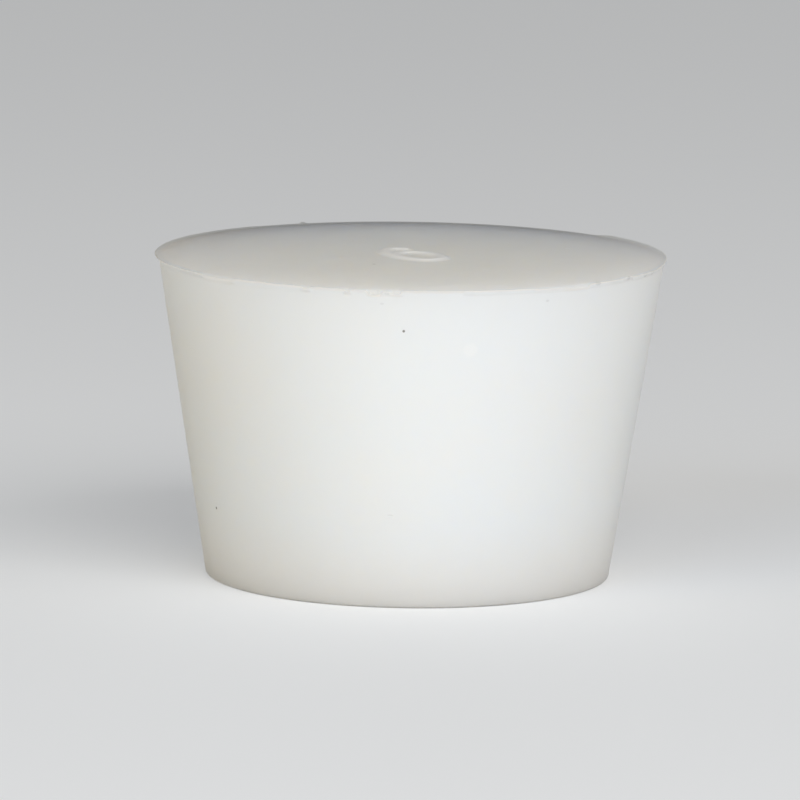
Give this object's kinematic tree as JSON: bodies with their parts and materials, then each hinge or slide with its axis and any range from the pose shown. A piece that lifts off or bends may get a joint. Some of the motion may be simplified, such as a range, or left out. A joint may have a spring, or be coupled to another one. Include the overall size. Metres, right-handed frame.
{
  "type": "rubber stopper",
  "caption": "Solid tapered stopper in translucent white silicone rubber, with a thin trimmed flash lip round its wide end and a moulded size digit on top.",
  "frame": {"origin": "centre of the small end's flat face, on which the stopper stands", "axes": "+Z along the stopper's axis from the small end to the wide end; -Y is the side the size digit is read from as a 6, and it reads as a 9 from +Y"},
  "size_m": [0.0454, 0.0454, 0.0286],
  "materials": {
    "silicone": "translucent satin"
  },
  "bodies": {
    "root": {"stopper": "silicone"}
  },
  "joints": []
}
